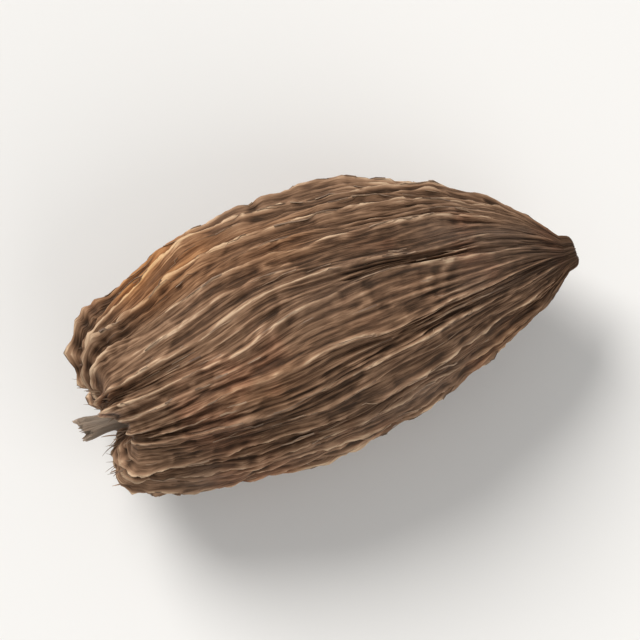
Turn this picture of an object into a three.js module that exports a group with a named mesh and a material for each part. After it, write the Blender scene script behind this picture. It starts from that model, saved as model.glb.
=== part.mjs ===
// A dried black cardamom pod, lying on its side: one husk, blunt and hollowed at the crown,
// widest before the middle, and drawn out to a small stalk stub at the tip.
// Millimetres, +Z up. +X runs from the crown to the tip, and Z = 0 is the surface it lies on.
// The husk is a surface of two numbers: the station along the meridian, which runs from the
// floor of the crown's hollow, over the rim, along the body and round the stub, and the
// column round the axis. Columns follow the ribs, so that each rib's crest is a clean line.

import * as THREE from "three";

// Driving dimensions
const BODY_LENGTH = 27.5; // crown's shoulder to the root of the stalk stub
const BODY_WIDTH = 14.2; // across the husk between its ribs, at the widest
const FLATTENING = 0.94; // height over width of the section
const BOW = 1.05; // how far the middle line stands to +Y of a straight one, at most
const BOW_LEAN = 1.73; // over 1 puts the bow's height nearer the tip
const STUB_LENGTH = 0.7;
const STUB_RADIUS = 1.0;

// Crown: the husk puckers round a small torn hollow, with the withered flower's remnant in it
const HOLLOW_DEPTH = 1.8;
const RIM_STANDS = 0.45; // the rim stands this far before the body's first station
const TORN_REACH = 0.03; // how far along the body the rim's tears fade out, in stations
const FLAP_REACH = 0.04; // and the flaps
const REMNANT_STANDS = 2.4; // the remnant stands this far before the body's first station
const REMNANT_OFFSET = -0.8; // to -Y of the axis
const TEARS = [
  { deep: 0.2, count: 5, phase: 1 },
  { deep: 0.14, count: 9, phase: 2.6 },
]; // waves round the hollow's rim
const NOTCH = { at: -0.6, broad: 0.45, deep: 1.2 }; // a piece of the rim is missing
// Flaps of husk that stand out past the rim
const FLAPS = [
  { at: -1.65, broad: 0.42, stands: 0.7 },
  { at: 1.3, broad: 0.35, stands: 0.25 },
  { at: 2.9, broad: 0.4, stands: 0.35 },
];

// Outline of the body: width = sin(PI * s)^FULLNESS, with s from BLUNT_START to 1
const FULLNESS = 0.64; // under 1 rounds the shoulders
const BLUNT_START = 0.144; // the crown is cut off here, which leaves it blunt

// Section: three blunt lobes, one for each seed chamber, and a slight oval, as shares of the radius
const LOBES = 0.032;
const OVAL = 0.018;

// Shrinkage dents, and one full shoulder: station, angle, length, breadth in radians, height in mm
const SWELLINGS = [
  { t: 0.2, at: 1.5, long: 0.17, broad: 0.65, stands: 1.0 },
  { t: 0.62, at: -0.5, long: 0.16, broad: 0.35, stands: -0.4 },
  { t: 0.78, at: 1.2, long: 0.1, broad: 0.5, stands: -0.35 },
  { t: 0.4, at: 2.5, long: 0.2, broad: 0.4, stands: -0.5 },
  { t: 0.7, at: -2.1, long: 0.14, broad: 0.45, stands: -0.5 },
  { t: 0.3, at: -1.4, long: 0.15, broad: 0.4, stands: -0.35 },
];

// Ribs
const RIBS = 22;
const RIB_HEIGHT = 0.95; // of the tallest
const LOWEST_RIB = 0.55; // share of RIB_HEIGHT that the lowest rib has
const RIB_ROLL = 0.22; // share of a rib's height that comes and goes along the pod
const TIP_FADE = 0.4; // length of the ribs' fading to the tip, in stations
const TIP_RIB = 0.14; // share of a rib's height that is left there
const RIB_SHARPNESS = 3.2; // a higher power makes a thinner crest
const RIB_SPREAD = 0.4; // unevenness of the ribs' seats, as a share of their pitch
const RIB_SWAY = 0.045; // radians, each rib on its own
const RIB_NOTCHES = 0.1; // share of a rib's height that its small notches take
const KNOB = { t: 0.03, long: 0.035, height: 0.6 }; // some ribs end in one at the crown
const CROWN_RISE = { share: 0.3, long: 0.1 }; // the ribs stand higher towards the crown
const TWIST = 0.28; // radians that all ribs turn from crown to tip
const SECOND_RIB = 0.42; // height of the small rib in a furrow, as a share of RIB_HEIGHT
const SECOND_SHOWS = 0.35; // a higher share shows more of the small rib's length
const SECOND_HALF_WIDTH = 0.3; // as a share of the ribs' pitch
// Waves that carry all ribs round the pod: radians, cycles along it, cycles round it, phase
const SHARED_SWAY = [
  { by: 0.05, along: 0.8, round: 1, phase: 0.6 },
  { by: 0.016, along: 1.9, round: 2, phase: 2.1 },
  { by: 0.01, along: 4.1, round: 5, phase: 4 },
];
const COLUMN_STEPS = [0, 0.2, 0.5, 0.8]; // columns of one rib and its furrow, 0 on the crest

// Where the pod lies: its ribs are worn down there, and the husk is pressed flat
const NOSE_DOWN = THREE.MathUtils.degToRad(1.2); // the thin tip hangs a little lower
const WORN = { t: 0.45, long: 0.2, broad: 0.5, share: 0.8 };
const PRESSED_FLAT = 0.45; // depth of husk that is pressed flat

const BODY_ROWS = 50;
const ROW_CROWDING = 0.55; // 0 spaces the rows evenly, and 1 crowds them most near both ends
const TAU = 2 * Math.PI;

// A repeatable draw from 0 to 1 for whole number n.
function draw(n) {
  const x = Math.sin(n * 127.1 + 311.7) * 43758.5453;
  return x - Math.floor(x);
}

function wave(cycles, phase) {
  return Math.sin(TAU * (cycles + phase));
}

// 1 at d = 0, falling off as a bell of half-width w.
function bell(d, w) {
  return Math.exp(-(d * d) / (w * w));
}

function bodyRadius(t) {
  const s = BLUNT_START + (1 - BLUNT_START) * t;
  const belly = (BODY_WIDTH / 2) * Math.max(0, Math.sin(Math.PI * s)) ** FULLNESS;
  return Math.hypot(belly, STUB_RADIUS);
}

// Smallest signed angle from b to a.
function turn(a, b) {
  return Math.atan2(Math.sin(a - b), Math.cos(a - b));
}

// How far the section stands out from a circle.
function sectionSwell(t, angle) {
  const lobes = LOBES * Math.cos(3 * angle + 0.5 + 0.9 * t);
  const oval = OVAL * Math.cos(2 * angle - 1.1 + 1.5 * t);
  const fade = Math.max(0, 1 - t) ** 0.3;
  let swell = bodyRadius(t) * (lobes + oval);
  for (const { t: station, at, long, broad, stands } of SWELLINGS)
    swell += stands * fade * bell(t - station, long) * bell(turn(angle, at), broad);
  return swell;
}

// Angle of rib i at station t, from straight up towards +Y.
function ribAngle(i, t) {
  const rib = ((i % RIBS) + RIBS) % RIBS;
  const turns = (i - rib) / RIBS;
  const seat = (TAU * (rib + RIB_SPREAD * (draw(rib) - 0.5))) / RIBS;
  let angle = seat + TAU * turns + TWIST * (t - 0.5);
  angle += RIB_SWAY * wave((0.9 + draw(rib + 30)) * t, draw(rib + 60));
  for (const { by, along, round, phase } of SHARED_SWAY)
    angle += by * Math.sin(TAU * along * t + round * seat + phase);
  return angle;
}

// Height of rib i at station t. It stands highest towards the crown, where some ribs end in knobs.
function ribHeight(i, t) {
  const rib = ((i % RIBS) + RIBS) % RIBS;
  const fade = TIP_RIB + (1 - TIP_RIB) * Math.min(1, (1 - t) / TIP_FADE) ** 0.8;
  const own = LOWEST_RIB + (1 - LOWEST_RIB) * draw(rib + 90);
  const rolling = 1 - RIB_ROLL + RIB_ROLL * wave((1.4 + 1.6 * draw(rib + 120)) * t, draw(rib + 150));
  const notches = 1 + RIB_NOTCHES * wave((8 + 5 * draw(rib + 180)) * t, draw(rib + 210));
  const rise = 1 + CROWN_RISE.share * bell(t, CROWN_RISE.long);
  const knob = KNOB.height * draw(rib + 240) ** 2 * bell(t - KNOB.t, KNOB.long);
  return RIB_HEIGHT * fade * own * rolling * notches * rise + knob;
}

// Height of the small rib in the furrow after rib i. It comes and goes along the pod.
function secondHeight(i, t) {
  const rib = ((i % RIBS) + RIBS) % RIBS;
  const coming = wave((0.8 + 1.2 * draw(rib + 270)) * t, draw(rib + 300));
  const share = Math.max(0, SECOND_SHOWS + (1 - SECOND_SHOWS) * coming);
  return SECOND_RIB * RIB_HEIGHT * share * Math.min(1, (1 - t) / TIP_FADE);
}

// Height above the furrow floor, a share g of the way from rib i to the next.
function relief(i, g, t) {
  const crest = (away) => (1 - away) ** RIB_SHARPNESS;
  const second = Math.max(0, 1 - Math.abs(g - 0.5) / SECOND_HALF_WIDTH) ** 1.4;
  return ribHeight(i, t) * crest(g) + ribHeight(i + 1, t) * crest(1 - g) + secondHeight(i, t) * second;
}

// How far the torn rim of the crown's hollow stands out to -X.
function tornRim(angle) {
  let out = -NOTCH.deep * bell(turn(angle, NOTCH.at), NOTCH.broad);
  for (const { deep, count, phase } of TEARS) out += deep * Math.sin(count * angle + phase);
  return out;
}

// How far the crown's shoulder stands out to -X, in flaps.
function flaps(angle) {
  return FLAPS.reduce((sum, flap) => sum + flap.stands * bell(turn(angle, flap.at), flap.broad), 0);
}

// Meridian stations: place x, radius r, body station t, how much of the ribs, of the torn rim and
// of the flaps show there, and the direction of the ribs' height, along X and outwards.
function meridian() {
  const crown = -BODY_LENGTH / 2;
  const rim = bodyRadius(0);
  const floor = crown + HOLLOW_DEPTH;
  const stations = [
    { x: crown - 0.8 * REMNANT_STANDS, r: 0, ribs: 0, torn: 0, flap: 0 },
    { x: crown - REMNANT_STANDS, r: 0.16 * rim, ribs: 0.35, torn: 0.3, flap: 0 },
    { x: crown - 0.5 * REMNANT_STANDS, r: 0.13 * rim, ribs: 0.2, torn: 0.1, flap: 0 },
    { x: crown + 0.1 * HOLLOW_DEPTH, r: 0.15 * rim, ribs: 0.15, torn: 0, flap: 0 },
    { x: floor, r: 0.19 * rim, ribs: 0.1, torn: 0, flap: 0 },
    { x: floor, r: 0.28 * rim, ribs: 0.15, torn: 0.2, flap: 0 },
    { x: crown + 0.3 * HOLLOW_DEPTH, r: 0.37 * rim, ribs: 0.3, torn: 0.7, flap: 0.05 },
    { x: crown - 0.8 * RIM_STANDS, r: 0.47 * rim, ribs: 0.5, torn: 1, flap: 0.2 },
    { x: crown - RIM_STANDS, r: 0.65 * rim, ribs: 0.75, torn: 0.8, flap: 0.55, dx: -0.97, dr: 0.24 },
    { x: crown - 0.6 * RIM_STANDS, r: 0.85 * rim, ribs: 0.95, torn: 0.4, flap: 1, dx: -0.8, dr: 0.6 },
  ].map((station) => ({ t: 0, dx: -1, dr: 0, ...station }));
  for (let row = 0; row <= BODY_ROWS; row++) {
    // Rows lie closer together near both ends, where the outline bends most.
    const even = row / BODY_ROWS;
    const crowded = 0.5 * (1 - Math.cos(Math.PI * even));
    const t = (1 - ROW_CROWDING) * even + ROW_CROWDING * crowded;
    const step = 0.002;
    const low = Math.max(0, t - step);
    const high = Math.min(1, t + step);
    const slope = (bodyRadius(high) - bodyRadius(low)) / ((high - low) * BODY_LENGTH);
    const norm = Math.hypot(1, slope);
    stations.push({
      x: crown + BODY_LENGTH * t,
      r: bodyRadius(t),
      t,
      ribs: 1,
      torn: 0.2 * Math.exp(-t / TORN_REACH),
      flap: 0.95 * Math.exp(-t / FLAP_REACH),
      dx: -slope / norm,
      dr: 1 / norm,
    });
  }
  const tip = BODY_LENGTH / 2;
  const root = bodyRadius(1);
  const stub = [
    { x: tip + 0.45 * STUB_LENGTH, r: 0.92 * root, ribs: 0.9, dx: 0.2, dr: 0.98 },
    { x: tip + 0.85 * STUB_LENGTH, r: 0.78 * root, ribs: 0.8, dx: 0.5, dr: 0.87 },
    { x: tip + STUB_LENGTH, r: 0.45 * root, ribs: 0.5, dx: 1, dr: 0 },
    { x: tip + 0.8 * STUB_LENGTH, r: 0, ribs: 0, dx: 1, dr: 0 },
  ].map((station) => ({ ...station, t: 1, torn: 0, flap: 0 }));
  return [...stations, ...stub];
}

// One point of the husk, in the pod's own axes.
function huskPoint(station, i, g) {
  const { t } = station;
  const angle = (1 - g) * ribAngle(i, t) + g * ribAngle(i + 1, t);
  const worn = WORN.share * bell(t - WORN.t, WORN.long) * bell(turn(angle, Math.PI), WORN.broad);
  const raised = station.ribs * relief(i, g, t) * (1 - worn);
  const share = station.r / bodyRadius(t);
  const radius = station.r + sectionSwell(t, angle) * share + station.dr * raised;
  const bow = BOW * Math.sin(Math.PI * t ** BOW_LEAN);
  const offset = REMNANT_OFFSET * Math.max(0, 1 - share) * (1 - t);
  return new THREE.Vector3(
    station.x + station.dx * raised - station.torn * tornRim(angle) - station.flap * flaps(angle),
    bow + offset + radius * Math.sin(angle),
    FLATTENING * radius * Math.cos(angle),
  );
}

function huskGeometry() {
  const stations = meridian();
  const columns = RIBS * COLUMN_STEPS.length;
  const points = [];
  const faces = [];
  const inner = stations.slice(1, -1);
  for (const station of inner)
    for (let i = 0; i < RIBS; i++)
      for (const g of COLUMN_STEPS) points.push(huskPoint(station, i, g));
  const hollowCentre = points.push(huskPoint(stations[0], 0, 0)) - 1;
  const stubCentre = points.push(huskPoint(stations.at(-1), 0, 0)) - 1;
  const at = (row, column) => row * columns + (column % columns);
  const last = inner.length - 1;
  for (let column = 0; column < columns; column++) {
    faces.push(hollowCentre, at(0, column), at(0, column + 1));
    faces.push(stubCentre, at(last, column + 1), at(last, column));
    for (let row = 0; row < last; row++) {
      const [a, b] = [at(row, column), at(row + 1, column)];
      const [c, d] = [at(row + 1, column + 1), at(row, column + 1)];
      faces.push(a, b, c, a, c, d);
    }
  }
  const geometry = new THREE.BufferGeometry().setFromPoints(points);
  geometry.setIndex(faces);
  return geometry;
}

// Turns the pod nose down, presses its lowest ribs flat at Z = 0 and centres it over the origin.
function layDown(geometry) {
  geometry.rotateY(NOSE_DOWN);
  geometry.computeBoundingBox();
  geometry.translate(0, 0, -geometry.boundingBox.min.z - PRESSED_FLAT);
  const position = geometry.getAttribute("position");
  for (let n = 0; n < position.count; n++) position.setZ(n, Math.max(0, position.getZ(n)));
  geometry.computeBoundingBox();
  const middle = geometry.boundingBox.getCenter(new THREE.Vector3());
  geometry.translate(-middle.x, -middle.y, 0);
  geometry.computeVertexNormals();
  return geometry;
}

const huskMaterial = new THREE.MeshStandardMaterial({
  color: new THREE.Color(0x6d5442),
  roughness: 0.88,
  metalness: 0,
});

const pod = new THREE.Mesh(layDown(huskGeometry()), huskMaterial);
pod.name = "pod";

const group = new THREE.Group();
group.add(pod);

export default group;
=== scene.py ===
"""Looks of a dried black cardamom pod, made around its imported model.

The husk is a fine surface with the same form as the CAD node, whose formula it repeats, and with
the wrinkles, cracks and nicks that the node is too coarse for. Loose fibres stand off its crests and
its torn rim. Lengths in the formulas are in millimetres, and are turned into metres when a mesh is
made. A station runs from 0 at the crown's shoulder to 1 at the root of the stub, and an angle runs
round the pod from straight up towards +Y.
"""

import itertools
import math

import bpy
import numpy as np
from mathutils import Matrix, Vector


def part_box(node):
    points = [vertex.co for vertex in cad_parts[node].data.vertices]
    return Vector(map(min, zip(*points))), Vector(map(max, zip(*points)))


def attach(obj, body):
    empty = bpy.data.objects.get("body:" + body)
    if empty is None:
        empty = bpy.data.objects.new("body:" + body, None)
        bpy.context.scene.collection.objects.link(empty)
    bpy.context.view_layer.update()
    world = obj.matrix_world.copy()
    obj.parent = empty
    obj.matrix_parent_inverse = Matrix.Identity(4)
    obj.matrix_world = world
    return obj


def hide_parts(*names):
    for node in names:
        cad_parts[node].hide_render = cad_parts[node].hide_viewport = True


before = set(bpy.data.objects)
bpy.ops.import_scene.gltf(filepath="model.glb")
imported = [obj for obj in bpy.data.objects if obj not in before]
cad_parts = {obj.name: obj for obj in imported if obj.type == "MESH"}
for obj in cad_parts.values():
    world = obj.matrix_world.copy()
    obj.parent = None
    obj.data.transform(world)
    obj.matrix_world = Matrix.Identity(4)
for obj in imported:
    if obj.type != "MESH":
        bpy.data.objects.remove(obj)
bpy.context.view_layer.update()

MM = 0.001
TAU = 2 * math.pi

# Form of the body, as in its CAD source
BODY_LENGTH = 27.5
BODY_WIDTH = 14.2
FLATTENING = 0.94
FULLNESS = 0.64  # under 1 rounds the shoulders
BLUNT_START = 0.144  # the crown is cut off here
LOBES = 0.032  # share of the radius
OVAL = 0.018
BOW = 1.05  # how far the middle line stands to +Y
BOW_LEAN = 1.73  # over 1 puts the bow's height nearer the tip
STUB_LENGTH = 0.7
STUB_RADIUS = 1.0
NOSE_DOWN = math.radians(1.2)
# One full shoulder, and dents: station, angle, length, breadth in radians, height
SWELLINGS = (
    (0.2, 1.5, 0.17, 0.65, 1.0),
    (0.62, -0.5, 0.16, 0.35, -0.4),
    (0.78, 1.2, 0.1, 0.5, -0.35),
    (0.4, 2.5, 0.2, 0.4, -0.5),
    (0.7, -2.1, 0.14, 0.45, -0.5),
    (0.3, -1.4, 0.15, 0.4, -0.35),
)

# Form of the crown: a torn hollow with the flower's remnant in it
HOLLOW_DEPTH = 1.8
RIM_STANDS = 0.45
TORN_REACH = 0.03  # how far along the body the rim's tears fade out, in stations
FLAP_REACH = 0.04
REMNANT_STANDS = 2.4
REMNANT_OFFSET = -0.8
# Waves round the torn rim: depth, count, phase
TEARS = ((0.2, 5, 1), (0.14, 9, 2.6))
# A missing piece of the rim: angle, breadth, depth
NOTCH = (-0.6, 0.45, 1.2)
# Flaps of husk past the rim: angle, breadth, height
FLAPS = ((-1.65, 0.42, 0.7), (1.3, 0.35, 0.25), (2.9, 0.4, 0.35))

# Form of the ribs
RIBS = 22
RIB_HEIGHT = 0.95
LOWEST_RIB = 0.55  # share of RIB_HEIGHT
RIB_ROLL = 0.22  # share that comes and goes along the pod
TIP_FADE = 0.4  # length of the ribs' fading to the tip, in stations
TIP_RIB = 0.14  # share of a rib's height that is left there
RIB_SHARPNESS = 3.2
RIB_SPREAD = 0.4  # unevenness of the seats, as a share of the ribs' pitch
RIB_SWAY = 0.045  # radians
RIB_NOTCHES = 0.1
# Knobs in which some ribs end at the crown: station, length, height
KNOB = (0.03, 0.035, 0.6)
# The ribs' rise towards the crown: share, length
CROWN_RISE = (0.3, 0.1)
TWIST = 0.28  # radians from end to end
SECOND_RIB = 0.42  # share of RIB_HEIGHT
SECOND_SHOWS = 0.35
SECOND_HALF_WIDTH = 0.3
# Waves that carry all ribs round the pod: radians, cycles along it, cycles round it, phase
SHARED_SWAY = ((0.05, 0.8, 1, 0.6), (0.016, 1.9, 2, 2.1), (0.01, 4.1, 5, 4))
# Where the underside's ribs are worn down: station, length, breadth in radians, share
WORN = (0.45, 0.2, 0.5, 0.8)

# Fine relief of the husk. Crests waver by noise: share of the ribs' pitch, stretch, size, seed
WAVERS = ((0.13, 2.4, 2.6, 1), (0.11, 1.8, 1.1, 2), (0.045, 1.6, 0.5, 12))
# Small nicks in the crests, and how much deeper they are at the torn crown: share, length
NICKS = 0.14
CROWN_NICKS = (0.5, 0.05)
# Where the skin is more shrivelled than elsewhere, all round the pod: station, length, share
SHRIVELLED = (0.74, 0.14, 0.6)
CREST_VEIN = 0.15
FURROW_VEIN = 0.13
WRINKLE_HEIGHT = 0.1
THREAD_HEIGHT = 0.1
FOLD_HEIGHT = 0.02
CRACK_DEPTH = 0.3
SKIN_THICKNESS = 0.09
RIM_RAGS = 0.22  # how far the torn rim is ragged
BUMP_DEPTH = 0.13  # of the relief that only the material has

# Ochre patches, where the skin is thin: station, angle, length, breadth in radians, share
OCHRE_PATCHES = (
    (0.16, 1.15, 0.12, 0.45, 0.9),
    (0.4, 0.75, 0.16, 0.35, 0.4),
    (0.3, -0.35, 0.14, 0.25, 0.35),
    (0.62, 2.2, 0.18, 0.5, 0.7),
    (0.25, -2.5, 0.15, 0.6, 0.8),
    (0.8, -1.2, 0.12, 0.5, 0.4),
)

# Ashen patches, in the same way
ASHEN_PATCHES = (
    (0.85, 0.2, 0.2, 0.9, 0.8),
    (0.6, -1.2, 0.25, 0.5, 0.7),
    (0.12, -1.3, 0.1, 0.5, 0.6),
    (0.5, 0.1, 0.12, 0.2, 0.5),
    (0.5, 3.0, 0.25, 0.7, 0.6),
)

# Where the husk is made fairer, or darker for a share below zero, in the same way. The fair patches at
# the crown are painted light against its shaded furrows, and the dark band round the tip is painted shade
PAINTED_LIGHT_AND_SHADE_PATCHES = (
    (0.17, 0.1, 0.14, 0.6, 1.0),
    (0.27, 0.6, 0.14, 0.6, 0.5),
    (0.0, -0.7, 0.06, 0.9, 0.6),
    (0.95, 0, 0.1, 6, -0.5),
    (0.3, 2.7, 0.2, 0.5, 0.6),
    (0.65, -2.3, 0.2, 0.5, 0.5),
)

# Grid of the fine husk
ROWS_ON_BODY = 130
ROWS_ON_CROWN = 37
ROWS_ON_STUB = 10
COLUMNS_PER_RIB = 25
ROW_CROWDING = 0.55

# Painted shade and highlights by the relief: the tone of a place, darker in furrows as painted shade
# and lighter on crests as painted highlights. The middle tone, and the tone per millimetre that it stands
# over its broad and over its narrow surroundings
MIDDLE_TONE = 0.47
BROAD_PAINTED_SHADING = 0.2
NARROW_PAINTED_SHADING = 2.8

# Loose fibres: how many along the crests and round the torn rim, the points along each, and the
# radius at the root
FRAYS = 420
SHREDS = 130
STRAND_POINTS = 8
THINNEST_STRAND = 0.03
THICKEST_STRAND = 0.075

# Colours: the husk's tones from its furrows to its crests, dark there as painted shade and pale as
# painted highlights, with its own grain between, what is laid over them, and the others
HUSK_TONES = (
    (0.0, (0.038, 0.02, 0.011)),
    (0.25, (0.112, 0.06, 0.034)),
    (0.5, (0.23, 0.132, 0.077)),
    (0.75, (0.37, 0.228, 0.14)),
    (1.0, (0.62, 0.44, 0.29)),
)
OCHRE = (0.86, 0.57, 0.3)
RUDDY = (0.66, 0.44, 0.4)
ASH = (0.175, 0.125, 0.095)
PAPER = (0.62, 0.52, 0.42)
FIBRE_TONES = ((0.35, (0.12, 0.068, 0.04)), (0.65, (0.36, 0.24, 0.15)))
FLOOR_COLOUR = (0.8, 0.8, 0.79)

# Framing as in the photo, where the pod's axis runs up to the right. FRAME_WIDTH is in metres
PICTURE_TILT = math.radians(19)
CAMERA_ELEVATION = math.radians(84)
FRAME_WIDTH = 0.0375
LENS = 250

# Studio: brightness of the sky at the horizon and above it, from the height SKY_DIM_FROM up
HORIZON = 0.86
SKY = 0.38
SKY_DIM_FROM = 0.45
FLOOR_HALF = 8  # metres
# Lights: where from, as shares of the picture's right and up and of straight up, how broad, how
# strong and what colour
KEY_FROM = (-0.65, 0.85, 1)
KEY_SOFTNESS = math.radians(32)
KEY_STRENGTH = 2.85
KEY_COLOUR = (1, 0.97, 0.94)
FILL_FROM = (0.75, -0.75, 0.7)
FILL_SOFTNESS = math.radians(55)
FILL_STRENGTH = 0.95
FILL_COLOUR = (1, 0.98, 0.96)


def draw(n):
    """A repeatable draw from 0 to 1 for whole numbers n: the fraction of a large multiple of a sine."""
    x = np.sin(n * 127.1 + 311.7) * 43758.5453
    return x - np.floor(x)


def wave(cycles, phase):
    """A sine wave from -1 to 1, whose place and phase are counted in cycles."""
    return np.sin(TAU * (cycles + phase))


def bell(d, w):
    """1 at d = 0, falling off as a bell of half-width w."""
    return np.exp(-(d * d) / (w * w))


def turn(a, b):
    """Smallest signed angle from b to a."""
    return np.arctan2(np.sin(a - b), np.cos(a - b))


def ramp(x, low, high):
    """0 below low, 1 above high, and a smooth S between them."""
    s = np.clip((x - low) / (high - low), 0, 1)
    return s * s * (3 - 2 * s)


def lattice_noise(points, seed):
    """Smooth noise, about -1 to 1. Each corner of the unit lattice has a slope drawn from its whole
    numbers, and a point takes the slopes' heights from its eight corners, faded from one to the next."""
    cell = np.floor(points).astype(np.int64)
    inside = points - cell
    fade = inside**3 * (inside * (inside * 6 - 15) + 10)
    noise = np.zeros(points.shape[:-1])
    for corner in itertools.product((0, 1), repeat=3):
        x, y, z = np.moveaxis(cell + corner, -1, 0)
        mixed = (x * 374761393 + y * 668265263 + z * 1274126177 + seed * 974634777) & 0xFFFFFFFF
        mixed = ((mixed ^ (mixed >> 13)) * 1103515245) & 0xFFFFFFFF
        mixed = ((mixed ^ (mixed >> 16)) * 2246822519) & 0xFFFFFFFF
        slope = np.stack([(mixed >> shift) & 255 for shift in (0, 8, 16)], axis=-1) / 127.5 - 1
        height = np.sum(slope * (inside - corner), axis=-1)
        noise += height * np.prod(np.where(corner, fade, 1 - fade), axis=-1)
    return noise


def body_radius(t):
    """Radius of the body between its ribs: a power of a half sine, cut off at the crown, and joined
    smoothly to the stub's radius at the tip."""
    s = BLUNT_START + (1 - BLUNT_START) * t
    belly = BODY_WIDTH / 2 * np.maximum(0, np.sin(math.pi * s)) ** FULLNESS
    return np.hypot(belly, STUB_RADIUS)


def section_swell(t, angle):
    """How far the section stands out from a circle: three lobes, an oval, and the swellings."""
    lobes = LOBES * np.cos(3 * angle + 0.5 + 0.9 * t)
    oval = OVAL * np.cos(2 * angle - 1.1 + 1.5 * t)
    fade = np.clip(1 - t, 0, 1) ** 0.3
    swell = body_radius(t) * (lobes + oval)
    for station, at, long, broad, stands in SWELLINGS:
        swell = swell + stands * fade * bell(t - station, long) * bell(turn(angle, at), broad)
    return swell


def rib_angle(i, t):
    """Angle of rib i at station t, from straight up towards +Y. Each rib has its seat, sways on its
    own, and is carried round by waves that all ribs share."""
    rib = i % RIBS
    seat = TAU * (rib + RIB_SPREAD * (draw(rib) - 0.5)) / RIBS
    angle = seat + TAU * (i // RIBS) + TWIST * (t - 0.5)
    angle = angle + RIB_SWAY * wave((0.9 + draw(rib + 30)) * t, draw(rib + 60))
    for by, along, around, phase in SHARED_SWAY:
        angle = angle + by * np.sin(TAU * along * t + around * seat + phase)
    return angle


def rib_height(i, t):
    """Height of rib i at station t. It stands highest towards the crown, where some end in knobs."""
    rib = i % RIBS
    fade = TIP_RIB + (1 - TIP_RIB) * np.minimum(1, np.clip(1 - t, 0, 1) / TIP_FADE) ** 0.8
    own = LOWEST_RIB + (1 - LOWEST_RIB) * draw(rib + 90)
    rolling = 1 - RIB_ROLL + RIB_ROLL * wave((1.4 + 1.6 * draw(rib + 120)) * t, draw(rib + 150))
    notches = 1 + RIB_NOTCHES * wave((8 + 5 * draw(rib + 180)) * t, draw(rib + 210))
    most, long = CROWN_RISE
    rise = 1 + most * bell(t, long)
    station, knob_long, height = KNOB
    knob = height * draw(rib + 240) ** 2 * bell(t - station, knob_long)
    return RIB_HEIGHT * fade * own * rolling * notches * rise + knob


def second_height(i, t):
    """Height of the small rib in the furrow after rib i, which comes and goes along the pod."""
    rib = i % RIBS
    coming = wave((0.8 + 1.2 * draw(rib + 270)) * t, draw(rib + 300))
    share = np.maximum(0, SECOND_SHOWS + (1 - SECOND_SHOWS) * coming)
    return SECOND_RIB * RIB_HEIGHT * share * np.clip((1 - t) / TIP_FADE, 0, 1)


def relief(v, t):
    """Height above the furrow floor at rib coordinate v, whose whole numbers are the crests: both
    neighbouring crests, each falling off as a power, and the small rib in the middle."""
    i = np.floor(v).astype(int)
    g = v - i
    second = np.maximum(0, 1 - np.abs(g - 0.5) / SECOND_HALF_WIDTH) ** 1.4
    return (
        rib_height(i, t) * (1 - g) ** RIB_SHARPNESS
        + rib_height(i + 1, t) * g**RIB_SHARPNESS
        + second_height(i, t) * second
    )


def torn_rim(angle):
    """How far the torn rim of the crown's hollow stands out to -X: small tears and a missing piece."""
    at, broad, deep = NOTCH
    tears = sum(tear * np.sin(count * angle + phase) for tear, count, phase in TEARS)
    return tears - deep * bell(turn(angle, at), broad)


def flaps(angle):
    """How far the crown's shoulder stands out to -X: one bell for each flap of husk."""
    return sum(stands * bell(turn(angle, at), broad) for at, broad, stands in FLAPS)


def smooth_rows(stations, count):
    """count rows on a Catmull-Rom curve through the stations, evenly spread from the first to the
    one before the last, so that the next stretch can take over from there."""
    knots = np.array(stations, dtype=float)
    padded = np.vstack([2 * knots[0] - knots[1], knots, 2 * knots[-1] - knots[-2]])
    at = np.linspace(0, len(knots) - 1, count, endpoint=False)
    k = np.floor(at).astype(int)
    f = (at - k)[:, None]
    p0, p1, p2, p3 = (padded[k + step] for step in range(4))
    return 0.5 * (
        2 * p1
        + (p2 - p0) * f
        + (2 * p0 - 5 * p1 + 4 * p2 - p3) * f**2
        + (3 * p1 - p0 - 3 * p2 + p3) * f**3
    )


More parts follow.
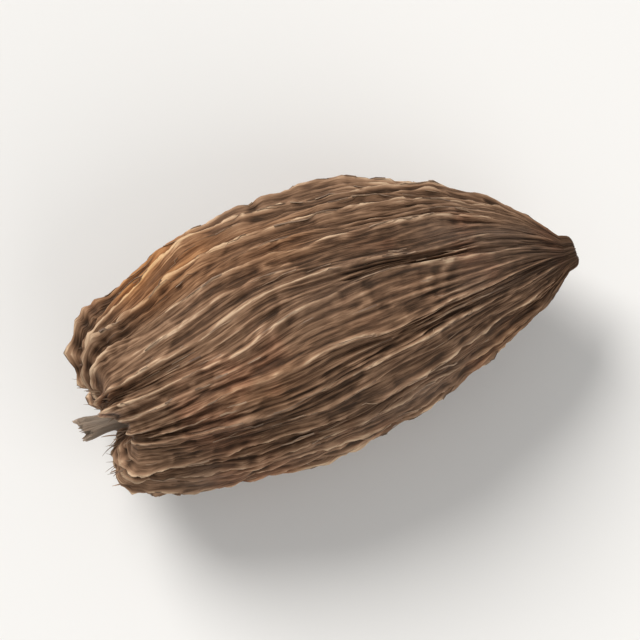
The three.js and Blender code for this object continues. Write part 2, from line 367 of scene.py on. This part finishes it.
def meridian():
    """Rows from the middle of the crown's hollow to the middle of the stub's end. Columns: place x,
    radius r, station t, shares of the ribs, of the torn rim and of the flaps, and the direction of
    the ribs' height, along X and outwards."""
    crown = -BODY_LENGTH / 2
    rim = body_radius(0)
    floor = crown + HOLLOW_DEPTH
    even = np.linspace(0, 1, ROWS_ON_BODY)
    t = (1 - ROW_CROWDING) * even + ROW_CROWDING * 0.5 * (1 - np.cos(math.pi * even))
    near = 0.002
    low, high = np.maximum(0, t - near), np.minimum(1, t + near)
    slope = (body_radius(high) - body_radius(low)) / ((high - low) * BODY_LENGTH)
    norm = np.hypot(1, slope)
    body = np.stack(
        [
            crown + BODY_LENGTH * t,
            body_radius(t),
            t,
            np.ones_like(t),
            0.2 * np.exp(-t / TORN_REACH),
            0.95 * np.exp(-t / FLAP_REACH),
            -slope / norm,
            1 / norm,
        ],
        axis=1,
    )
    hollow = [
        (crown - 0.8 * REMNANT_STANDS, 0, 0, 0, 0, 0, -1, 0),
        (crown - REMNANT_STANDS, 0.16 * rim, 0, 0.35, 0.3, 0, -1, 0),
        (crown - 0.5 * REMNANT_STANDS, 0.13 * rim, 0, 0.2, 0.1, 0, -1, 0),
        (crown + 0.1 * HOLLOW_DEPTH, 0.15 * rim, 0, 0.15, 0, 0, -1, 0),
        (floor, 0.19 * rim, 0, 0.1, 0, 0, -1, 0),
        (floor, 0.28 * rim, 0, 0.15, 0.2, 0, -1, 0),
        (crown + 0.3 * HOLLOW_DEPTH, 0.37 * rim, 0, 0.3, 0.7, 0.05, -1, 0),
        (crown - 0.8 * RIM_STANDS, 0.47 * rim, 0, 0.5, 1, 0.2, -1, 0),
        (crown - RIM_STANDS, 0.65 * rim, 0, 0.75, 0.8, 0.55, -0.97, 0.24),
        (crown - 0.6 * RIM_STANDS, 0.85 * rim, 0, 0.95, 0.4, 1, -0.8, 0.6),
        tuple(body[0]),
    ]
    tip = BODY_LENGTH / 2
    root = body_radius(1)
    stub = [
        (tip + 0.8 * STUB_LENGTH, 0, 1, 0, 0, 0, 1, 0),
        (tip + STUB_LENGTH, 0.45 * root, 1, 0.5, 0, 0, 1, 0),
        (tip + 0.85 * STUB_LENGTH, 0.78 * root, 1, 0.8, 0, 0, 0.5, 0.87),
        (tip + 0.45 * STUB_LENGTH, 0.92 * root, 1, 0.9, 0, 0, 0.2, 0.98),
        tuple(body[-1]),
    ]
    return np.vstack([smooth_rows(hollow, ROWS_ON_CROWN), body, smooth_rows(stub, ROWS_ON_STUB)[::-1]])


def along_fibres(rows, v, stretch):
    """Coordinates for noise that is stretched along the ribs: a cylinder whose turn is the rib
    coordinate and whose length is the distance along the meridian divided by stretch."""
    steps = np.hypot(np.diff(rows[:, 0]), np.diff(rows[:, 1]))
    distance = np.concatenate([[0], np.cumsum(steps)])[:, None]
    around = TAU * v / RIBS
    width = BODY_WIDTH / 2
    length = np.broadcast_to(distance / stretch, around.shape)
    return np.stack([width * np.cos(around), width * np.sin(around), length], axis=-1)


def fibre_noise(rows, v, stretch, size, seed):
    """Smooth noise of a size in millimetres, drawn out along the ribs."""
    return lattice_noise(along_fibres(rows, v, stretch) / size, seed)


def sharp_waves(points, seed):
    """Noise whose zero lines are sharp crests: from 1 on a crest down to about -1."""
    return 1 - 3 * np.abs(lattice_noise(points, seed)) ** 0.8


def thin_line(u, width):
    """1 where u is a whole number, falling off sharply to each side."""
    return np.exp(-np.abs(u - np.round(u)) / width)


def peeled_skin(rows, v):
    """Share of the thin outer skin that is still on: 1 on long patches, 0 between them, and a sharp
    ragged edge at the border."""
    patches = fibre_noise(rows, v, 2.6, 2.4, 31)
    ragged = 0.35 * fibre_noise(rows, v, 2, 0.6, 32)
    return ramp(patches + ragged, -0.1, 0.0)


def veins(rows, v, u):
    """Height of thin veins: one on each crest, one in the middle of a furrow where the first noise
    is high, and up to four between two crests, wandering, where the second noise is high."""
    middle_shows = ramp(fibre_noise(rows, v, 4, 1.6, 21), -0.35, 0.15)
    others_show = ramp(fibre_noise(rows, v, 4, 1.3, 23), -0.35, 0.25)
    others = 4 * v + 0.5 + 1.2 * fibre_noise(rows, v, 6, 1.5, 22)
    return (
        CREST_VEIN * thin_line(u, 0.05)
        + FURROW_VEIN * thin_line(u + 0.5, 0.06) * middle_shows
        + FURROW_VEIN * thin_line(others, 0.13) * others_show
    )


def cracks(rows, v):
    """Depth of thin cracks: two wandering lines to each rib, open where a noise is high."""
    open_here = ramp(fibre_noise(rows, v, 3, 1.2, 7), 0.12, 0.4)
    wandering = 2 * v + 0.25 + 0.8 * fibre_noise(rows, v, 4, 1.1, 8)
    return CRACK_DEPTH * open_here * thin_line(wandering, 0.09)


def rubbed_pale(rows, v, u):
    """Share of the pale colour on rubbed crests and on the small ribs between them, a thin line on
    each, and on the torn rim, where a noise is high."""
    rubbed = ramp(fibre_noise(rows, v, 7, 1.4, 24), -0.25, 0.35)
    middle_shows = ramp(fibre_noise(rows, v, 4, 1.6, 21), -0.35, 0.15)
    rim = 0.7 * ramp(rows[:, 4][:, None], 0.55, 0.95)
    lines = np.maximum(thin_line(u, 0.11), 0.8 * thin_line(u + 0.5, 0.08) * middle_shows)
    return np.maximum(lines, rim) * rubbed


def fine_relief(rows, v, skin):
    """Height of the husk's relief, and the share of pale crests. The ribs' relief is read at rib
    coordinates that waver by noise, and is nicked by more noise. Over it come the veins, sharp
    wrinkles and threads along the ribs, folds across them, the skin and the cracks. They fade out
    at the tip and in the crown's hollow, and are higher where the skin is shrivelled."""
    t, ribs = (rows[:, k][:, None] for k in (2, 3))
    waver = sum(by * fibre_noise(rows, v, stretch, size, seed) for by, stretch, size, seed in WAVERS)
    u = v + waver
    station, long, share = SHRIVELLED
    rough = 1 + share * bell(t - station, long)
    crown_nicks, reach = CROWN_NICKS
    small_nicks = NICKS * rough**2 + crown_nicks * bell(t, reach)
    nicks = 1 + 0.2 * fibre_noise(rows, v, 2.4, 1.6, 3) + small_nicks * fibre_noise(rows, v, 1.2, 0.5, 13)
    shows = np.clip(1.5 * ribs * np.minimum(1, (1 - t) / 0.12 + 0.2), 0, 1)
    wrinkles = WRINKLE_HEIGHT * (sharp_waves(along_fibres(rows, v, 8) / 1.05 + 7, 4) - 0.5)
    threads = THREAD_HEIGHT * (sharp_waves(along_fibres(rows, v, 11) / 0.36, 5) - 0.5)
    folds = FOLD_HEIGHT * (sharp_waves(along_fibres(rows, v, 1.1) / 0.8 + 3, 6) - 0.5)
    shrivelled = rough * (veins(rows, v, u) + wrinkles + threads + folds)
    height = relief(u, t) * nicks + shows * (shrivelled - cracks(rows, v) + SKIN_THICKNESS * skin)
    return height, shows * rubbed_pale(rows, v, u)


def papery_remnant(rows, v):
    """Share of the withered flower's papery grey: 1 on the rows of the remnant, which are the thin
    ones inside the crown, broken up along the fibres."""
    r, t = (rows[:, k][:, None] for k in (1, 2))
    thin = (1 - ramp(r / body_radius(t), 0.15, 0.2)) * (t < 0.5)
    return np.clip(thin * (0.85 + 0.6 * fibre_noise(rows, v, 3, 0.5, 44)), 0, 1)


def patch_share(patches, rows, v, angle, seed):
    """How far the husk has a patch's colour: a bell for each patch, broken up along the fibres."""
    t = rows[:, 2][:, None]
    broken = 0.75 + 0.6 * lattice_noise(along_fibres(rows, v, 3) / 1.3, seed)
    share = sum(
        most * bell(t - station, long) * bell(turn(angle, at), broad)
        for station, at, long, broad, most in patches
    )
    return np.clip(share * broken, -1, 1)


def husk_surface():
    """Points of the husk, rows by columns, its relief, and the fields that the material reads. A
    point lies at the section's radius and its swelling, plus the relief along its own direction,
    round a middle line that is bowed to +Y. The crown's rows are torn and stand out in flaps."""
    rows = meridian()
    v = np.arange(RIBS * COLUMNS_PER_RIB) / COLUMNS_PER_RIB
    v = np.broadcast_to(v, (len(rows), len(v)))
    x, r, t, ribs, torn, flap, along, out = (rows[:, k][:, None] for k in range(8))
    i = np.floor(v).astype(int)
    g = v - i
    angle = (1 - g) * rib_angle(i, t) + g * rib_angle(i + 1, t)
    station, long, broad, most = WORN
    worn = most * bell(t - station, long) * bell(turn(angle, math.pi), broad)
    skin = peeled_skin(rows, v)
    height, pale = fine_relief(rows, v, skin)
    raised = ribs * height * (1 - worn)
    share = r / body_radius(t)
    radius = r + section_swell(t, angle) * share + out * raised
    bow = BOW * np.sin(math.pi * np.clip(t, 0, 1) ** BOW_LEAN)
    offset = REMNANT_OFFSET * np.maximum(0, 1 - share) * (1 - t)
    down = np.broadcast_to(0.6 * t, angle.shape)
    rags = RIM_RAGS * sharp_waves(np.stack([4 * np.cos(angle), 4 * np.sin(angle), down], axis=-1), 9)
    points = np.stack(
        [
            x + along * raised - torn * (torn_rim(angle) + rags) - flap * flaps(angle),
            bow + offset + radius * np.sin(angle),
            FLATTENING * radius * np.cos(angle),
        ],
        axis=-1,
    )
    fields = {
        "skin": skin,
        "pale": pale,
        "ochre": patch_share(OCHRE_PATCHES, rows, v, angle, 41),
        "ashen": patch_share(ASHEN_PATCHES, rows, v, angle, 42),
        # Painted light over the crown's shade, and painted shade round the tip
        "painted_light_and_shade": patch_share(PAINTED_LIGHT_AND_SHADE_PATCHES, rows, v, angle, 43),
        "papery": papery_remnant(rows, v),
        "fibre": along_fibres(rows, v, 1),
    }
    return points, raised, fields


def lay_down(points):
    """Turns the pod nose down and puts it where the CAD node is: centred in its box, with its top at
    the box's top, and pressed flat where it would reach below the surface it lies on."""
    c, s = math.cos(NOSE_DOWN), math.sin(NOSE_DOWN)
    x, y, z = np.moveaxis(points, -1, 0)
    turned = np.stack([c * x + s * z, y, c * z - s * x], axis=-1)
    low, high = (np.array(corner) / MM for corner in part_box("pod"))
    flat = turned.reshape(-1, 3)
    shift = (low + high) / 2 - (flat.min(axis=0) + flat.max(axis=0)) / 2
    shift[2] = high[2] - flat[:, 2].max()
    placed = turned + shift
    placed[..., 2] = np.maximum(placed[..., 2], 0)
    return placed


def blurred(field, reach):
    """Mean of a field over reach rows and columns each way. Columns join up round the pod."""
    width = 2 * reach + 1
    rows = np.pad(field, ((reach, reach), (0, 0)), mode="edge")
    mean = sum(rows[k : k + len(field)] for k in range(width)) / width
    return sum(np.roll(mean, k, axis=1) for k in range(-reach, reach + 1)) / width


def unit(vectors):
    """Vectors of length 1. A vector of no length, as at the poles, stays so."""
    return vectors / np.maximum(np.linalg.norm(vectors, axis=-1, keepdims=True), 1e-12)


def grid_normals(points):
    """Outward directions at the grid's points, from the steps to the next row and column."""
    along = np.gradient(points, axis=0)
    around = np.roll(points, -1, axis=1) - np.roll(points, 1, axis=1)
    return unit(np.cross(around, along))


def fray_paths(points, raised):
    """Middle lines of fibres that have come loose along the crests: FRAYS by STRAND_POINTS points. A
    fibre is rooted in the highest point near a drawn rib or near the middle of the furrow after it,
    follows the surface away from there, and leaves it as the square of the distance."""
    n = np.arange(FRAYS)
    columns = raised.shape[1]
    clear_of_crown, clear_of_both, searched = 6, 40, 7
    row = ROWS_ON_CROWN + clear_of_crown + (draw(n + 400) * (ROWS_ON_BODY - clear_of_both)).astype(int)
    rib = (draw(n + 700) * RIBS).astype(int)
    in_furrow = np.round(1.2 * draw(n + 850))
    seat = (COLUMNS_PER_RIB * (rib + in_furrow / 2)).astype(int)
    near = (seat[:, None] + np.arange(-searched, searched + 1)) % columns
    column = near[n, np.argmax(raised[row[:, None], near], axis=1)]
    ahead = np.where(draw(n + 1000) < 0.5, -1, 1)
    rows_a_step = 0.6 + 1.6 * draw(n + 1300)
    columns_a_step = 0.6 * (draw(n + 1600) - 0.5)
    step = np.arange(STRAND_POINTS)
    rows_on = row[:, None] + np.round((ahead * rows_a_step)[:, None] * step).astype(int)
    columns_on = (column[:, None] + np.round(columns_a_step[:, None] * step).astype(int)) % columns
    sunk, least, more = 0.02, 0.06, 0.5
    lift = (least + more * draw(n + 1900) ** 4)[:, None] * (step / step[-1]) ** 2 - sunk
    out = grid_normals(points)[row, column]
    return points[rows_on, columns_on] + out[:, None] * lift[..., None]


def shred_paths(points):
    """Middle lines of fibres that stand out of the crown's torn rim: SHREDS by STRAND_POINTS points.
    A fibre leaves the rim to -X, leaning a little outwards, and bends aside as the square of the
    distance."""
    n = np.arange(SHREDS)
    last_row, rows_of_rim = ROWS_ON_CROWN - 2, 12
    row = last_row - (draw(n + 2200) * rows_of_rim).astype(int)
    column = (draw(n + 2500) * points.shape[1]).astype(int)
    normal = grid_normals(points)[row, column]
    out = unit(np.array([-1.0, 0, 0]) + 0.35 * normal)
    never_along_out = [0, 0.1, 0.05]
    aside = unit(np.cross(out, normal + never_along_out))
    length = 0.35 + 0.75 * draw(n + 2800) ** 2
    sunk = 0.15
    s = np.linspace(-sunk, 1, STRAND_POINTS)[:, None]
    bend = (0.7 * (draw(n + 3100) - 0.5))[:, None, None] * s**2
    reach = out[:, None] * s + aside[:, None] * bend
    return points[row, column][:, None] + length[:, None, None] * reach


def strand_mesh(name, paths, widest):
    """Closed three-sided tubes round the middle lines, a little flattened, whose radius shrinks from
    widest as the square of the distance along them."""
    count, steps = paths.shape[:2]
    along = unit(np.gradient(paths, axis=1))
    side = unit(np.cross(along, paths - paths.mean(axis=(0, 1)) * [0, 1, 1]))
    above = np.cross(side, along)
    radius = widest[:, None] * (1 - (np.arange(steps) / steps) ** 2)
    corner = TAU * np.arange(3) / 3
    flatness = 0.6
    ring = np.cos(corner)[:, None] * side[:, :, None]
    ring = ring + flatness * np.sin(corner)[:, None] * above[:, :, None]
    vertices = paths[:, :, None] + radius[..., None, None] * ring
    number = np.arange(count * steps * 3).reshape(count, steps, 3)
    ahead = np.roll(number, -1, axis=2)
    sides = np.stack([number[:, :-1], ahead[:, :-1], ahead[:, 1:], number[:, 1:]], axis=-1)
    mesh = bpy.data.meshes.new(name)
    caps = number[:, 0, ::-1].tolist() + number[:, -1].tolist()
    mesh.from_pydata((vertices.reshape(-1, 3) * MM).tolist(), [], sides.reshape(-1, 4).tolist() + caps)
    mesh.update()
    return mesh


def closed_husk_mesh(name, points, fields):
    """A mesh of quads between neighbouring rows and columns, with both end rows drawn together at
    their middle point. fields are named values or vectors, one for each grid point."""
    rows, columns = points.shape[:2]
    ends = [points[0].mean(axis=0), points[-1].mean(axis=0)]
    inner = points[1:-1].reshape(-1, 3)
    vertices = np.vstack([inner, ends])
    grid = np.arange((rows - 2) * columns).reshape(rows - 2, columns)
    ahead = np.roll(grid, -1, axis=1)
    quads = np.stack([grid[:-1], grid[1:], ahead[1:], ahead[:-1]], axis=-1).reshape(-1, 4)
    first, last = len(inner), len(inner) + 1
    near = np.stack([np.full(columns, first), grid[0], ahead[0]], axis=-1)
    far = np.stack([np.full(columns, last), ahead[-1], grid[-1]], axis=-1)
    mesh = bpy.data.meshes.new(name)
    mesh.from_pydata((vertices * MM).tolist(), [], [*near.tolist(), *far.tolist(), *quads.tolist()])
    for field, values in fields.items():
        values = values.reshape(rows, columns, -1)
        size = values.shape[-1]
        in_order = np.vstack([values[1:-1].reshape(-1, size), values[0, :1], values[-1, :1]])
        kind, slot = ("FLOAT_VECTOR", "vector") if size == 3 else ("FLOAT", "value")
        attribute = mesh.attributes.new(field, kind, "POINT")
        attribute.data.foreach_set(slot, in_order.ravel().astype(np.float32))
    mesh.polygons.foreach_set("use_smooth", np.ones(len(mesh.polygons), dtype=bool))
    mesh.update()
    return mesh


def new_material(name):
    material = bpy.data.materials.new(name)
    material.use_nodes = True
    return material, material.node_tree.nodes, material.node_tree.links


def attribute_node(nodes, name):
    node = nodes.new("ShaderNodeAttribute")
    node.attribute_name = name
    return node


def grain(nodes, links, vector, per_unit, detail, roughness=0.55, kind="FBM"):
    """Noise over a vector that is scaled by per_unit along its three axes."""
    mapping = nodes.new("ShaderNodeMapping")
    mapping.inputs["Scale"].default_value = per_unit
    noise = nodes.new("ShaderNodeTexNoise")
    noise.noise_type = kind
    noise.inputs["Scale"].default_value = 1
    noise.inputs["Detail"].default_value = detail
    noise.inputs["Roughness"].default_value = roughness
    links.new(vector, mapping.inputs["Vector"])
    links.new(mapping.outputs["Vector"], noise.inputs["Vector"])
    return noise.outputs["Fac"]


def spread(nodes, links, value, low, high, to_low, to_high):
    """value carried from low..high to to_low..to_high, and held there outside."""
    node = nodes.new("ShaderNodeMapRange")
    node.interpolation_type = "SMOOTHSTEP"
    links.new(value, node.inputs["Value"])
    for name, number in (("From Min", low), ("From Max", high), ("To Min", to_low), ("To Max", to_high)):
        node.inputs[name].default_value = number
    return node.outputs["Result"]


def total(nodes, links, *values):
    result = values[0]
    for value in values[1:]:
        node = nodes.new("ShaderNodeMath")
        node.operation = "ADD"
        links.new(result, node.inputs[0])
        links.new(value, node.inputs[1])
        result = node.outputs["Value"]
    return result


def colour_ramp(nodes, links, value, stops):
    node = nodes.new("ShaderNodeValToRGB")
    elements = node.color_ramp.elements
    while len(elements) < len(stops):
        elements.new(0.5)
    for element, (position, colour) in zip(elements, stops):
        element.position = position
        element.color = (*colour, 1)
    links.new(value, node.inputs["Fac"])
    return node.outputs["Color"]


def tinted(nodes, links, base, share, colour, blend="MIX"):
    """base with a colour laid over it by a share."""
    node = nodes.new("ShaderNodeMix")
    node.data_type = "RGBA"
    node.blend_type = blend
    links.new(share, node.inputs["Factor"])
    links.new(base, node.inputs["A"])
    node.inputs["B"].default_value = (*colour, 1)
    return node.outputs["Result"]


def husk_finish():
    """Dry brown husk: dark furrows with painted shade, tan crests with painted highlights, tan fibres,
    ochre, ruddy and ashen patches, painted light over the crown's shade and painted shade round the
    tip, a grey papery remnant, and a dull sheen. Grains over fibre are scaled per millimetre, round
    the pod and along it, and those over place per metre."""
    material, nodes, links = new_material("dry_husk")
    shader = nodes["Principled BSDF"]
    # Painted shade in the furrows and painted highlights on the crests
    crest = attribute_node(nodes, "crest").outputs["Fac"]
    skin = attribute_node(nodes, "skin").outputs["Fac"]
    pale = attribute_node(nodes, "pale").outputs["Fac"]
    thin_skin = attribute_node(nodes, "ochre").outputs["Fac"]
    ash = attribute_node(nodes, "ashen").outputs["Fac"]
    # Painted light over the crown's shade, and painted shade round the tip
    painted_light_and_shade = attribute_node(nodes, "painted_light_and_shade").outputs["Fac"]
    fibre = attribute_node(nodes, "fibre").outputs["Vector"]
    place = nodes.new("ShaderNodeTexCoord").outputs["Object"]
    bands = grain(nodes, links, fibre, (0.6, 0.6, 0.07), 3)
    streaks = grain(nodes, links, fibre, (2.4, 2.4, 0.16), 5, 0.65)
    strands = grain(nodes, links, fibre, (4, 4, 0.16), 4, 0.6, "RIDGED_MULTIFRACTAL")
    hairs = grain(nodes, links, fibre, (9, 9, 0.45), 3, 0.6)
    mottle = grain(nodes, links, fibre, (1.6, 1.6, 0.5), 4, 0.65)
    # The tone carries painted shade and highlights from the relief, and painted light and shade in
    # patches
    tone = total(
        nodes,
        links,
        crest,
        spread(nodes, links, bands, 0.3, 0.7, -0.08, 0.08),
        spread(nodes, links, streaks, 0.35, 0.65, -0.09, 0.09),
        spread(nodes, links, strands, 0.5, 1.4, -0.12, 0.2),
        spread(nodes, links, hairs, 0.38, 0.62, -0.14, 0.14),
        spread(nodes, links, mottle, 0.3, 0.7, -0.045, 0.045),
        spread(nodes, links, skin, 0, 1, -0.06, 0.02),
        spread(nodes, links, pale, 0.1, 0.9, -0.03, 0.26),
        spread(nodes, links, painted_light_and_shade, -1, 1, -0.2, 0.2),
    )
    base = colour_ramp(nodes, links, tone, HUSK_TONES)
    ochre = spread(nodes, links, thin_skin, 0.05, 0.8, 0, 0.95)
    ashen = spread(nodes, links, ash, 0.05, 0.8, 0, 0.4)
    ruddy = spread(nodes, links, grain(nodes, links, place, (230, 230, 230), 2), 0.52, 0.7, 0, 0.35)
    base = tinted(nodes, links, base, ochre, OCHRE, "SOFT_LIGHT")
    base = tinted(nodes, links, base, ruddy, RUDDY, "SOFT_LIGHT")
    base = tinted(nodes, links, base, ashen, ASH)
    papery = spread(nodes, links, attribute_node(nodes, "papery").outputs["Fac"], 0, 1, 0, 0.6)
    base = tinted(nodes, links, base, papery, PAPER)
    links.new(base, shader.inputs["Base Color"])
    links.new(spread(nodes, links, streaks, 0.3, 0.75, 0.52, 0.8), shader.inputs["Roughness"])
    shader.inputs["Specular IOR Level"].default_value = 0.22
    shader.inputs["Specular Tint"].default_value = (1, 0.86, 0.72, 1)
    bump = nodes.new("ShaderNodeBump")
    bump.inputs["Strength"].default_value = 0.8
    bump.inputs["Distance"].default_value = BUMP_DEPTH * MM
    height = total(
        nodes,
        links,
        streaks,
        spread(nodes, links, hairs, 0.35, 0.65, 0, 0.5),
        spread(nodes, links, strands, 0.5, 1.5, 0, 0.7),
    )
    links.new(height, bump.inputs["Height"])
    links.new(bump.outputs["Normal"], shader.inputs["Normal"])
    return material


def fibre_finish():
    """Loose fibres: pale straw to brown, each a little different."""
    material, nodes, links = new_material("loose_fibre")
    shader = nodes["Principled BSDF"]
    place = nodes.new("ShaderNodeTexCoord").outputs["Object"]
    tone = grain(nodes, links, place, (900, 900, 900), 2)
    links.new(colour_ramp(nodes, links, tone, FIBRE_TONES), shader.inputs["Base Color"])
    shader.inputs["Roughness"].default_value = 0.6
    return material


def floor_finish():
    material, nodes, _ = new_material("pale_floor")
    shader = nodes["Principled BSDF"]
    shader.inputs["Base Color"].default_value = (*FLOOR_COLOUR, 1)
    shader.inputs["Roughness"].default_value = 0.9
    return material


def add_object(mesh, material):
    piece = bpy.data.objects.new(mesh.name, mesh)
    mesh.materials.append(material)
    bpy.context.scene.collection.objects.link(piece)
    return piece


def painted_crest_shading(raised):
    """Painted shade and highlights: 0 in furrows, which are painted darker as if shaded, and 1 on crests,
    which are painted lighter as if lit. How far the relief stands over its own blur, a broad and a
    narrow one."""
    broad_reach, narrow_reach = 6, 2
    broad = raised - blurred(blurred(raised, broad_reach), broad_reach)
    narrow = raised - blurred(raised, narrow_reach)
    return np.clip(MIDDLE_TONE + BROAD_PAINTED_SHADING * broad + NARROW_PAINTED_SHADING * narrow, 0, 1)


def make_husk():
    points, raised, fields = husk_surface()
    placed = lay_down(points)
    # Painted shade in the furrows and painted highlights on the crests, from the relief
    fields["crest"] = painted_crest_shading(raised)
    husk = add_object(closed_husk_mesh("husk", placed, fields), husk_finish())
    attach(husk, "root")
    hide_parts("pod")
    return placed, raised


def make_loose_fibres(placed, raised):
    paths = np.concatenate([fray_paths(placed, raised), shred_paths(placed)])
    over_the_floor = 0.05
    paths[..., 2] = np.maximum(paths[..., 2], over_the_floor)
    thicker = draw(np.arange(len(paths)) + 3400) ** 2
    widest = THINNEST_STRAND + (THICKEST_STRAND - THINNEST_STRAND) * thicker
    fibres = add_object(strand_mesh("loose_fibres", paths, widest), fibre_finish())
    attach(fibres, "root")


def make_floor():
    corners = [(x * FLOOR_HALF, y * FLOOR_HALF, 0) for x, y in ((-1, -1), (1, -1), (1, 1), (-1, 1))]
    mesh = bpy.data.meshes.new("floor")
    mesh.from_pydata(corners, [], [(0, 1, 2, 3)])
    floor = add_object(mesh, floor_finish())


def picture_axes():
    """World directions of the picture's right and up, for a camera that looks down on the pod."""
    right = Vector((math.cos(PICTURE_TILT), -math.sin(PICTURE_TILT), 0))
    up = Vector((math.sin(PICTURE_TILT), math.cos(PICTURE_TILT), 0))
    return right, up


def make_camera():
    """A camera that looks down on the pod's middle, FRAME_WIDTH across there, with the pod's axis
    running up to the right."""
    data = bpy.data.cameras.new("camera")
    data.lens = LENS
    data.clip_start = 0.005
    camera = bpy.data.objects.new("camera", data)
    bpy.context.scene.collection.objects.link(camera)
    bpy.context.scene.camera = camera
    low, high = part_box("pod")
    target = (Vector(low) + Vector(high)) / 2
    right, up = picture_axes()
    back = Vector((0, 0, math.sin(CAMERA_ELEVATION))) - up * math.cos(CAMERA_ELEVATION)
    place = target + back * (FRAME_WIDTH * LENS / data.sensor_width)
    turned = Matrix((right, back.cross(right), back)).transposed().to_4x4()
    camera.matrix_world = Matrix.Translation(place) @ turned


def make_light(name, towards, softness, strength, colour):
    """A distant soft light from the direction towards, as broad in the sky as the angle softness. It
    lights the whole floor evenly, so that the pod looks the same from all sides."""
    data = bpy.data.lights.new(name, "SUN")
    data.angle = softness
    data.energy = strength
    data.color = colour
    light = bpy.data.objects.new(name, data)
    light.rotation_euler = towards.to_track_quat("Z", "Y").to_euler()
    bpy.context.scene.collection.objects.link(light)


def make_world():
    """A pale studio: as bright as the floor round the horizon, and dimmer above."""
    near_horizon = 0.02
    world = bpy.data.worlds.new("studio")
    world.use_nodes = True
    nodes, links = world.node_tree.nodes, world.node_tree.links
    split = nodes.new("ShaderNodeSeparateXYZ")
    links.new(nodes.new("ShaderNodeTexCoord").outputs["Generated"], split.inputs["Vector"])
    glow = spread(nodes, links, split.outputs["Z"], near_horizon, SKY_DIM_FROM, HORIZON, SKY)
    nodes["Background"].inputs["Color"].default_value = (1, 0.995, 0.985, 1)
    links.new(glow, nodes["Background"].inputs["Strength"])
    bpy.context.scene.world = world


def light_scene():
    axes = (*picture_axes(), Vector((0, 0, 1)))
    lights = (
        ("key", KEY_FROM, KEY_SOFTNESS, KEY_STRENGTH, KEY_COLOUR),
        ("fill", FILL_FROM, FILL_SOFTNESS, FILL_STRENGTH, FILL_COLOUR),
    )
    for name, shares, softness, strength, colour in lights:
        towards = sum((axis * share for axis, share in zip(axes, shares)), Vector())
        make_light(name, towards, softness, strength, colour)
    make_world()
    bpy.context.scene.view_settings.view_transform = "Standard"


make_camera()
placed, raised = make_husk()
make_loose_fibres(placed, raised)
make_floor()
light_scene()
